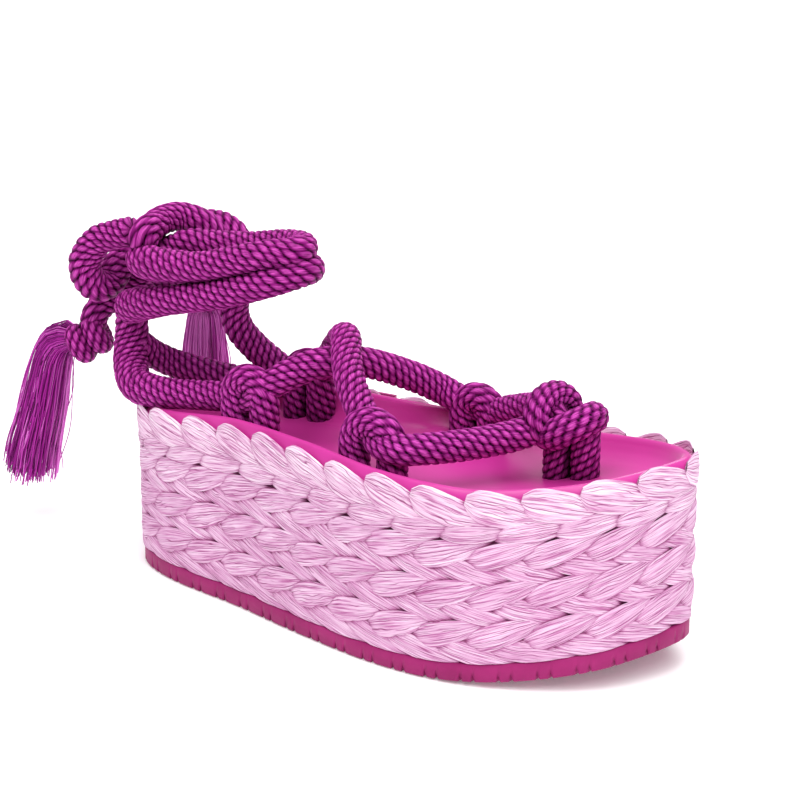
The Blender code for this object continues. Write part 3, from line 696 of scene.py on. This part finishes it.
def upper_ropes():
    """Straps, wraps, anchors and toe post, by name."""
    ropes = {}
    for name, route in STRAP_ROUTES.items():
        ropes[name] = rope(route, swell=pressed(route, SWELLS.get(name, EVEN)))
    for name, route in ANKLE_WRAPS.items():
        ropes[name] = rope(route, closed=True, swell=SWELLS.get(name, EVEN))
    ropes["anchors"] = joined([rope(anchor_route(anchor), hand=-1) for anchor in ANCHORS])
    post = []
    for x, y in TOE_LEGS:
        post.append(rope(leg(x, y) + [(x, y, TOE_LEG_TOP)], swell=TOE_LEG_SWELL))
    for turn in TOE_KNOT_TURNS:
        post.append(rope(turn_route(turn), closed=True, hand=-1))
    ropes["toe_post"] = joined(post)
    return ropes


def shade_legs(surface):
    """Painted shade on the rope legs: less open, so darker, close to the footbed."""
    points = surface.points
    share = np.clip((points[:, 2] - bed_height(points[:, 0])) / LEG_SHADE_HEIGHT, 0, 1)
    surface.numbers["open"] *= LEG_SHADE + (1 - LEG_SHADE) * share


def stopper_knot(stopper):
    """Two turns of rope side by side, pulled tight into a ball."""
    angles = turn_angles(TURN_POINTS)
    axis = unit(np.array(stopper.axis))
    one = unit(np.cross(axis, (0.0, 0.0, 1.0)))
    two = np.cross(axis, one)
    circle = np.cos(angles)[:, None] * one + np.sin(angles)[:, None] * two
    turns = []
    for offset, radius in STOPPER_TURNS:
        route = np.array(stopper.centre) + offset * axis + radius * circle
        turns.append(rope(route, closed=True, radius=STOPPER_STRAND))
    return joined(turns)


def tail_route(side, stopper):
    """Route of a rope end that goes on into its stopper knot."""
    last = np.array(BOW_ROUTES[side][-1])
    return BOW_ROUTES[side] + [tuple(last + TAIL_IN_KNOT * (stopper.centre - last))]


def bow_ropes():
    """Knot turn, rope ends and stopper knots, by the solid that each stands for."""
    ropes = {"bow_knot": rope(BOW_KNOT_ROUTE)}
    for side, stopper in zip(BOW_ROUTES, STOPPERS):
        ropes[side] = rope(tail_route(side, stopper), swell=SWELLS.get(side, EVEN))
        ropes[stopper.name] = stopper_knot(stopper)
    return ropes


def tassel(shape, seed):
    """Frayed rope end: fine threads in locks that spread from the knot, and a few stray ones."""
    chance = np.random.default_rng(seed)
    path = smooth_curve(shape.route, OUTLINE_STEP)
    tangents = unit(np.gradient(path, axis=0))
    across = unit(np.cross(tangents, (0.0, 1.0, 0.0)))
    depth = np.cross(across, tangents)
    count = shape.threads
    share = np.linspace(0, 1, THREAD_STATIONS)
    lock = chance.integers(0, LOCKS, count)
    lock_angle = chance.uniform(0, 2 * math.pi, LOCKS)[lock]
    lock_reach = np.sqrt(chance.uniform(0.0, LOCK_REACH, LOCKS))[lock]
    spread = chance.normal(0, LOCK_SPREAD, (2, count))
    offset = np.stack([lock_reach * np.cos(lock_angle), lock_reach * np.sin(lock_angle)]) + spread
    reach = np.linalg.norm(offset, axis=0)
    offset = offset / np.maximum(reach, 1.0)
    stray = np.arange(count) < STRAY_THREADS
    offset[:, stray] *= chance.uniform(1.0, STRAY_REACH, STRAY_THREADS) / np.maximum(reach[stray], 1.0)
    length = 1 - chance.uniform(0, THREAD_RAGGED, count) - chance.uniform(0, THREAD_RAGGED, LOCKS)[lock]
    along = share[None, :] * length[:, None]
    flare = shape.top_radius + (shape.end_radius - shape.top_radius) * along ** FLARE_POWER
    phase = chance.uniform(0, 2 * math.pi, (2, count, 1))
    pace = chance.uniform(*THREAD_PACE, (2, count, 1))
    size = THREAD_WAVE * np.where(stray, STRAY_SWING, chance.uniform(*THREAD_SWING, count))[:, None]
    wave = size * np.sqrt(along) * np.sin(phase + along * pace)
    place_along = along * (len(path) - 1)
    low = np.clip(np.floor(place_along).astype(int), 0, len(path) - 2)
    part = (place_along - low)[..., None]
    centre = path[low] * (1 - part) + path[low + 1] * part
    sideways = (offset[0][:, None] * flare + wave[0])[..., None] * across[low]
    inwards = (offset[1][:, None] * flare + wave[1])[..., None] * depth[low]
    lines = centre + sideways + inwards
    ring = turn_angles(THREAD_SIDES)
    hoops = np.cos(ring)[:, None] * across[low][:, :, None] + np.sin(ring)[:, None] * depth[low][:, :, None]
    surface = lines[:, :, None] + THREAD_RADIUS * hoops
    quads = np.array(grid_faces(THREAD_STATIONS, THREAD_SIDES))[:, ::-1]
    faces = repeated_faces(quads, THREAD_STATIONS * THREAD_SIDES, count)
    tone = LOCK_TONE * chance.uniform(0, 1, LOCKS)[lock] + (1 - LOCK_TONE) * chance.uniform(0, 1, count)
    # Painted light: the right tassel hangs in shade, so its threads are made lighter
    tone = np.minimum(tone + shape.lighter, 1)
    shade = np.broadcast_to(tone[:, None, None], surface.shape[:3])
    return Surface(surface.reshape(-1, 3), faces, {"shade": shade.reshape(-1)})


def make_bow(ropes, rope_look, thread_look):
    """Knot, two rope ends with their loops, stopper knots and tassels."""
    for name, surface in ropes.items():
        add_piece("rope_" + name, surface, rope_look, [name])
    for seed, (side, stopper, shape) in enumerate(zip(BOW_ROUTES, STOPPERS, TASSELS)):
        fray = add_piece("threads_" + shape.name, tassel(shape, seed), thread_look, [shape.name])


# Sole
def make_outsole(outline, finish):
    """Rubber outsole whose lower edge has pairs of V grooves."""
    points, spine = outline.stations(OUTSOLE_STATIONS)
    chamfered = inset_ring(points, spine, OUTSOLE_CHAMFER)
    index = np.arange(OUTSOLE_STATIONS)
    from_heel = np.minimum(index, OUTSOLE_STATIONS - index)
    from_pair = np.abs(from_heel % GROOVE_PERIOD - GROOVE_PERIOD // 2)
    notch = GROOVE_DEPTH * np.clip(1 - np.abs(from_pair - GROOVE_PAIR_OFFSET) / GROOVE_HALF_WIDTH, 0, 1)
    rise = section_value(points[:, 0], "rise")
    rings = [
        with_height(chamfered, section_value(chamfered[:, 0], "rise") + notch),
        with_height(points, rise + notch + OUTSOLE_CHAMFER),
        with_height(points, rise + OUTSOLE_THICKNESS - OUTSOLE_CHAMFER),
        with_height(inset_ring(points, spine, OUTSOLE_CHAMFER / 2), rise + OUTSOLE_THICKNESS),
    ]
    add_piece("outsole_grooved", loft(rings), finish, ["outsole"])


def loft(rings):
    """Closed surface through rings, its ends closed by strips across."""
    count = len(rings[0])
    half = count // 2
    faces = grid_faces(len(rings), count)
    for start, order in ((0, -1), ((len(rings) - 1) * count, 1)):
        faces.append([start, start + 1, start + count - 1][::order])
        for i in range(1, half - 1):
            strip = [start + i, start + i + 1, start + count - i - 1, start + count - i]
            faces.append(strip[::order])
        faces.append([start + half - 1, start + half, start + half + 1][::order])
    return Surface(np.vstack(rings), faces, {})


def footbed_rim(ring):
    """Height of the footbed's rim at each point of a ring."""
    def at(column):
        return section_value(ring[:, 0], column)

    middle = (at("outer") + at("inner")) / 2
    width = at("inner") - at("outer")
    share = np.clip(0.5 + (ring[:, 1] - middle) / np.maximum(width, NARROWEST_WIDTH), 0, 1)
    return at("top") + at("rim_outer") + (at("rim_inner") - at("rim_outer")) * share


def make_footbed(outline, finish):
    """Moulded footbed with a rolled rim."""
    points, spine = outline.stations(FOOTBED_STATIONS)
    seat = inset_ring(points, spine, FOOTBED_RINGS[0][0])
    rings = [with_height(seat, section_value(seat[:, 0], "top") - FOOTBED_SEAT)]
    profile = smooth_curve(np.array(FOOTBED_RINGS) * FOOTBED_STRETCH, FOOTBED_RING_STEP) / FOOTBED_STRETCH
    for inset, share in profile:
        ring = inset_ring(points, spine, inset)
        floor = bed_height(ring[:, 0])
        rings.append(with_height(ring, floor + (footbed_rim(ring) - floor) * share))
    last = rings[-1][:, :2]
    for share in FOOTBED_INNER_SHARES:
        ring = last + (spine - last) * share
        rings.append(with_height(ring, bed_height(ring[:, 0])))
    add_piece("footbed_smooth", loft(rings), finish, ["footbed"])


# Raffia
def raffia_strands(outline, rows, seed):
    """Strands of some rows; only their fronts face out of the wall."""
    chance = np.random.default_rng(seed)
    kind = [ROWS[row] for row in rows for _ in range(STRANDS_AROUND)]
    count = len(kind)

    def column(name):
        return np.array([getattr(row, name) for row in kind])[:, None, None]

    def varied(low, high):
        return chance.uniform(low, high, count)[:, None, None]

    number = np.tile(np.arange(STRANDS_AROUND), len(rows))[:, None, None]
    pitch = outline.length / STRANDS_AROUND
    middle = (number + column("phase")) * pitch + chance.normal(0, PLACE_JITTER, count)[:, None, None]
    level = (np.repeat(rows, STRANDS_AROUND)[:, None, None] + 0.5) / len(ROWS)
    tilt = np.radians(column("lean")) + chance.normal(0, LEAN_JITTER, count)[:, None, None]
    run = np.linspace(-STRAND_END, STRAND_END, STRAND_ALONG)[None, :, None]
    behind = math.pi + math.pi * np.arange(1, STRAND_BACK + 1) / (STRAND_BACK + 1)
    angle = np.concatenate([np.linspace(0, math.pi, STRAND_FRONT), behind])[None, None, :]
    taper = np.stack([np.interp(run[0, :, 0], WIDTH_PLACES, row.widths) for row in kind])[..., None]
    across = np.cos(angle)
    front = np.sin(angle)
    knots = np.linspace(-1, 1, FIBRES)
    fibres = [np.interp(across[0, 0], knots, chance.uniform(-1, 1, FIBRES)) for _ in kind]
    relief = np.stack(fibres)[:, None, :]
    bulge = np.where(front > 0, np.abs(front) ** STRAND_ROUNDNESS, -STRAND_BACK_DEPTH * np.abs(front))
    sideways = across * taper * column("half_width") * varied(*STRAND_WIDTHS)
    forwards = run * column("half_length") * varied(*STRAND_LENGTHS)
    distance = middle + forwards * np.cos(tilt) - sideways * np.sin(tilt)
    lift = forwards * np.sin(tilt) + sideways * np.cos(tilt)
    dip = column("slope") * run + column("dive") * np.abs(run) ** DIVE_POWER
    out = STRAND_BASE + column("lift") - dip + STRAND_BULGE * np.sqrt(taper) * bulge
    out = out + FIBRE_RELIEF * relief * (front > 0) * taper
    edge = outline.at(distance)
    low, high = wall_span(edge[..., 0])
    outward = outline.outward(distance)
    height = np.maximum(low + (high - STRAND_TOP_DROP - low) * level + lift, low - WALL_GAP)
    points = np.concatenate([edge + outward * out[..., None], height[..., None]], axis=-1)
    facing = np.concatenate([outward * (front > 0)[..., None], np.zeros_like(height)[..., None]], axis=-1)
    rings = STRAND_FRONT + STRAND_BACK
    faces = repeated_faces(grid_faces(STRAND_ALONG, rings), STRAND_ALONG * rings, count)
    strand = np.arange(count)[:, None, None] * STRAND_NUMBER_STEP + seed
    numbers = {"across": across, "run": run, "strand": strand, "shade": varied(0, 1), "level": level}
    return Surface(points.reshape(-1, 3), faces, flat_numbers(numbers, height.shape), facing.reshape(-1, 3))


def make_raffia(outline, strand_look, core_look):
    """Plaited wall and the core behind it, coloured dark as painted shade in the gaps between strands."""
    points, spine = outline.stations(CORE_STATIONS)
    wall = inset_ring(points, spine, CORE_INSET)
    inner = inset_ring(points, spine, HOLLOW_INSET)
    low, high = wall_span(wall[:, 0])
    edge = high - CORE_EDGE
    rings = [with_height(wall, low), with_height(wall, edge), with_height(inner, edge),
             with_height(inner, high - HOLLOW_FLOOR)]
    add_piece("raffia_core", loft(rings), core_look, ["raffia_platform"])
    woven = {}
    for seed, (name, rows) in enumerate(ROWS_OF_PIECES.items()):
        woven[name] = raffia_strands(outline, rows, seed)
    add_openness(list(woven.values()), *STRAND_OPEN)
    for name, strands in woven.items():
        grid = strands.numbers["open"].reshape(-1, STRAND_ALONG, STRAND_FRONT + STRAND_BACK)
        for _ in range(SMOOTHING_PASSES):
            beside = grid[:, :-2] + grid[:, 2:]
            grid[:, 1:-1] = NEIGHBOUR_SHARE * beside + (1 - 2 * NEIGHBOUR_SHARE) * grid[:, 1:-1]
        add_piece(name, strands, strand_look, ["raffia_platform"])


# Materials
class Finish:
    """A material with its node tree and a few helpers to wire it."""

    def __init__(self, name, roughness, gloss, gloss_tint=WHITE):
        self.material = bpy.data.materials.new(name)
        self.material.use_nodes = True
        self.nodes = self.material.node_tree.nodes
        self.links = self.material.node_tree.links
        self.shader = self.nodes["Principled BSDF"]
        self.shader.inputs["Roughness"].default_value = roughness
        self.shader.inputs["Specular IOR Level"].default_value = gloss
        self.shader.inputs["Specular Tint"].default_value = (*gloss_tint, 1.0)

    def add(self, kind, **values):
        node = self.nodes.new(kind)
        for name, value in values.items():
            if name in node.inputs:
                node.inputs[name].default_value = value
            else:
                setattr(node, name, value)
        return node

    def number(self, name):
        return self.add("ShaderNodeAttribute", attribute_name=name).outputs["Fac"]

    def scaled(self, socket, factor):
        node = self.add("ShaderNodeMath", operation="MULTIPLY")
        self.links.new(socket, node.inputs[0])
        node.inputs[1].default_value = factor
        return node.outputs[0]

    def added(self, one, two):
        node = self.add("ShaderNodeMath", operation="ADD")
        self.links.new(one, node.inputs[0])
        self.links.new(two, node.inputs[1])
        return node.outputs[0]

    def clamped(self, socket, known, wanted):
        """Number mapped from a known range to the wanted one and held within it."""
        node = self.add("ShaderNodeMapRange")
        self.links.new(socket, node.inputs["Value"])
        for name, value in zip(("From Min", "From Max", "To Min", "To Max"), (*known, *wanted)):
            node.inputs[name].default_value = value
        return node.outputs["Result"]

    def ribbons(self, socket, scale, feature, output):
        """Bands of random width along one number."""
        node = self.add("ShaderNodeTexVoronoi", voronoi_dimensions="1D", feature=feature)
        node.inputs["Scale"].default_value = scale
        self.links.new(socket, node.inputs["W"])
        return node.outputs[output]

    def ramp(self, socket, stops):
        node = self.add("ShaderNodeValToRGB")
        elements = node.color_ramp.elements
        while len(elements) < len(stops):
            elements.new(0.5)
        for element, (position, colour) in zip(elements, stops):
            element.position = position
            element.color = (*colour, 1.0)
        self.links.new(socket, node.inputs["Fac"])
        return node.outputs["Color"]

    def streaks(self, streak):
        """Noise drawn out along a fibre."""
        vector = self.add("ShaderNodeCombineXYZ")
        for (name, factor), target in zip(streak.factors.items(), vector.inputs):
            self.links.new(self.scaled(self.number(name), factor), target)
        noise = self.add("ShaderNodeTexNoise", Scale=streak.scale, Detail=streak.detail)
        self.links.new(vector.outputs[0], noise.inputs["Vector"])
        return noise.outputs["Fac"]

    def grain(self, scale, detail):
        """Noise fixed to the sandal."""
        place_node = self.add("ShaderNodeTexCoord")
        noise = self.add("ShaderNodeTexNoise", Scale=scale, Detail=detail)
        self.links.new(place_node.outputs["Object"], noise.inputs["Vector"])
        return noise.outputs["Fac"]

    def mixed(self, one, two, share=0.5, blend="MIX"):
        node = self.add("ShaderNodeMix", data_type="RGBA", blend_type=blend)
        inputs = [socket for socket in node.inputs if socket.type == "RGBA"]
        node.inputs["Factor"].default_value = share
        self.links.new(one, inputs[0])
        self.links.new(two, inputs[1])
        return next(socket for socket in node.outputs if socket.type == "RGBA")

    def tinted(self, tone, *layers):
        """Colour multiplied by others in turn."""
        for layer in layers:
            tone = self.mixed(tone, layer, 1.0, "MULTIPLY")
        return tone

    def colour(self, socket):
        self.links.new(socket, self.shader.inputs["Base Color"])

    def bump(self, socket, strength, distance):
        node = self.add("ShaderNodeBump", Strength=strength, Distance=distance)
        self.links.new(socket, node.inputs["Height"])
        self.links.new(node.outputs["Normal"], self.shader.inputs["Normal"])


def rope_finish():
    finish = Finish("braided_rope", *ROPE_SHEEN)
    threads = finish.streaks(ROPE_THREADS)
    # Painted shade in the lobes' creases and painted highlight on their crests, from the braid's relief
    tone = finish.ramp(finish.number("relief"), ROPE_CREASE_SHADE_AND_HIGHLIGHT)
    # Painted shade where ropes touch one another
    contact_shade = finish.ramp(finish.number("open"), ROPE_CONTACT_SHADE)
    finish.colour(finish.tinted(tone, finish.ramp(threads, ROPE_STREAKS), contact_shade))
    finish.bump(threads, *ROPE_BUMP)
    return finish.material


def thread_finish():
    finish = Finish("tassel_threads", *THREAD_SHEEN)
    finish.colour(finish.ramp(finish.number("shade"), THREAD_TONES))
    return finish.material


def raffia_finish():
    """Pale strands of fine fibres and ribbons, with painted shade in their creases and where they touch."""
    finish = Finish("raffia_strands", *RAFFIA_SHEEN)
    fibres = finish.streaks(RAFFIA_FIBRES)
    wander = finish.scaled(finish.streaks(RAFFIA_WANDER), RIBBON_WANDER)
    shift = finish.scaled(finish.number("strand"), RIBBON_SHIFT)
    spread = finish.added(finish.added(finish.number("across"), wander), shift)
    ribbons = finish.ribbons(spread, RIBBON_SCALE, "DISTANCE_TO_EDGE", "Distance")
    breaks = finish.clamped(finish.streaks(RAFFIA_BREAKS), BREAK_RANGE, (0.0, BREAK_WIDTH))
    crease = finish.added(ribbons, breaks)
    layers = [
        # painted shade in the creases between ribbons
        finish.ramp(crease, RAFFIA_CREASE_SHADE),
        finish.ramp(finish.ribbons(spread, RIBBON_SCALE, "F1", "Color"), RAFFIA_RIBBONS),
        # painted shade, darker on the lower rows
        finish.ramp(finish.number("level"), RAFFIA_LOW_ROW_SHADE),
        finish.ramp(finish.number("shade"), RAFFIA_SHADES),
        # painted shade where strands touch
        finish.ramp(finish.number("open"), RAFFIA_CONTACT_SHADE),
    ]
    finish.colour(finish.tinted(finish.ramp(fibres, RAFFIA_TONES), *layers))
    finish.bump(finish.mixed(finish.ramp(crease, RAFFIA_EDGES), fibres), *RAFFIA_BUMP)
    return finish.material


def plain_finish(look):
    """Material with soft spots and, if it has one, a fine grain."""
    finish = Finish(look.name, look.roughness, look.gloss)
    spots = finish.grain(look.spots, look.spot_detail)
    finish.colour(finish.ramp(spots, list(zip(SPOT_RANGE, (look.dark, look.light)))))
    if look.grain:
        finish.bump(finish.grain(look.grain, look.grain_detail), *look.bump)
    return finish.material


# Studio
def make_camera():
    """Camera with the photo's view."""
    level = math.cos(CAMERA_RISE)
    back = np.array([math.sin(CAMERA_TURN) * level, -math.cos(CAMERA_TURN) * level, math.sin(CAMERA_RISE)])
    spot = place(np.array(CAMERA_AIM) + CAMERA_DISTANCE * back)
    right = unit(np.cross(-back, (0.0, 0.0, 1.0)))
    up = np.cross(right, -back)
    lens = bpy.data.cameras.new("camera")
    lens.sensor_width = SENSOR_WIDTH
    lens.lens = CAMERA_FOCAL / PICTURE_WIDTH * SENSOR_WIDTH
    camera = add_object("camera", lens)
    camera.matrix_world = Matrix((
        (right[0], up[0], back[0], spot[0]), (right[1], up[1], back[1], spot[1]),
        (right[2], up[2], back[2], spot[2]), (0, 0, 0, 1)))
    bpy.context.scene.camera = camera


def make_studio():
    """White floor, pale surroundings and soft lamps."""
    half = FLOOR_HALF
    drop = -FLOOR_DROP * MILLIMETRE
    mesh = bpy.data.meshes.new("floor")
    corners = [(-half, -half, drop), (half, -half, drop), (half, half, drop), (-half, half, drop)]
    mesh.from_pydata(corners, [], [(0, 1, 2, 3)])
    paper = bpy.data.materials.new("floor_paper")
    paper.use_nodes = True
    shader = paper.node_tree.nodes["Principled BSDF"]
    shader.inputs["Base Color"].default_value = (*FLOOR_TONE, 1.0)
    shader.inputs["Emission Color"].default_value = (*WHITE, 1.0)
    shader.inputs["Emission Strength"].default_value = FLOOR_GLOW
    shader.inputs["Roughness"].default_value = FLOOR_ROUGHNESS
    shader.inputs["Specular IOR Level"].default_value = 0.0
    mesh.materials.append(paper)
    floor = add_object("floor", mesh)
    world = bpy.data.worlds.new("pale_room")
    world.use_nodes = True
    background = world.node_tree.nodes["Background"]
    background.inputs["Color"].default_value = (*WHITE, 1.0)
    background.inputs["Strength"].default_value = WORLD_STRENGTH
    bpy.context.scene.world = world
    for lamp in LAMPS:
        light = bpy.data.lights.new(lamp.name, "AREA")
        light.energy = lamp.power
        light.size = lamp.size
        holder = add_object(lamp.name, light)
        holder.location = lamp.place
        aim = Vector(lamp.aim) - Vector(lamp.place)
        holder.rotation_euler = aim.to_track_quat("-Z", "Y").to_euler()
    sky = bpy.data.lights.new("broad_light", "SUN")
    sky.energy = SKY_POWER
    sky.angle = SKY_SPREAD
    holder = add_object("broad_light", sky)
    holder.rotation_euler = Vector(SKY_PLACE).to_track_quat("Z", "Y").to_euler()
    bpy.context.scene.view_settings.view_transform = "Standard"


def main():
    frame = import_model()
    make_camera()
    rope_look = rope_finish()
    upper = upper_ropes()
    bow = bow_ropes()
    add_openness([*upper.values(), *bow.values()], *ROPE_OPEN)
    for name in ("anchors", "toe_post"):
        shade_legs(upper[name])
    make_bow(bow, rope_look, thread_finish())
    for name, surface in upper.items():
        add_piece("rope_" + name, surface, rope_look, ["rope_upper"])
    outline = Outline()
    make_raffia(outline, raffia_finish(), plain_finish(CORE_SHADE_LOOK))
    make_footbed(outline, plain_finish(FOOTBED_LOOK))
    make_outsole(outline, plain_finish(RUBBER_LOOK))
    seam = frame["nodes"]["seam_strip"]
    seam.data.materials.clear()
    seam.data.materials.append(plain_finish(SEAM_LOOK))
    make_studio()


main()
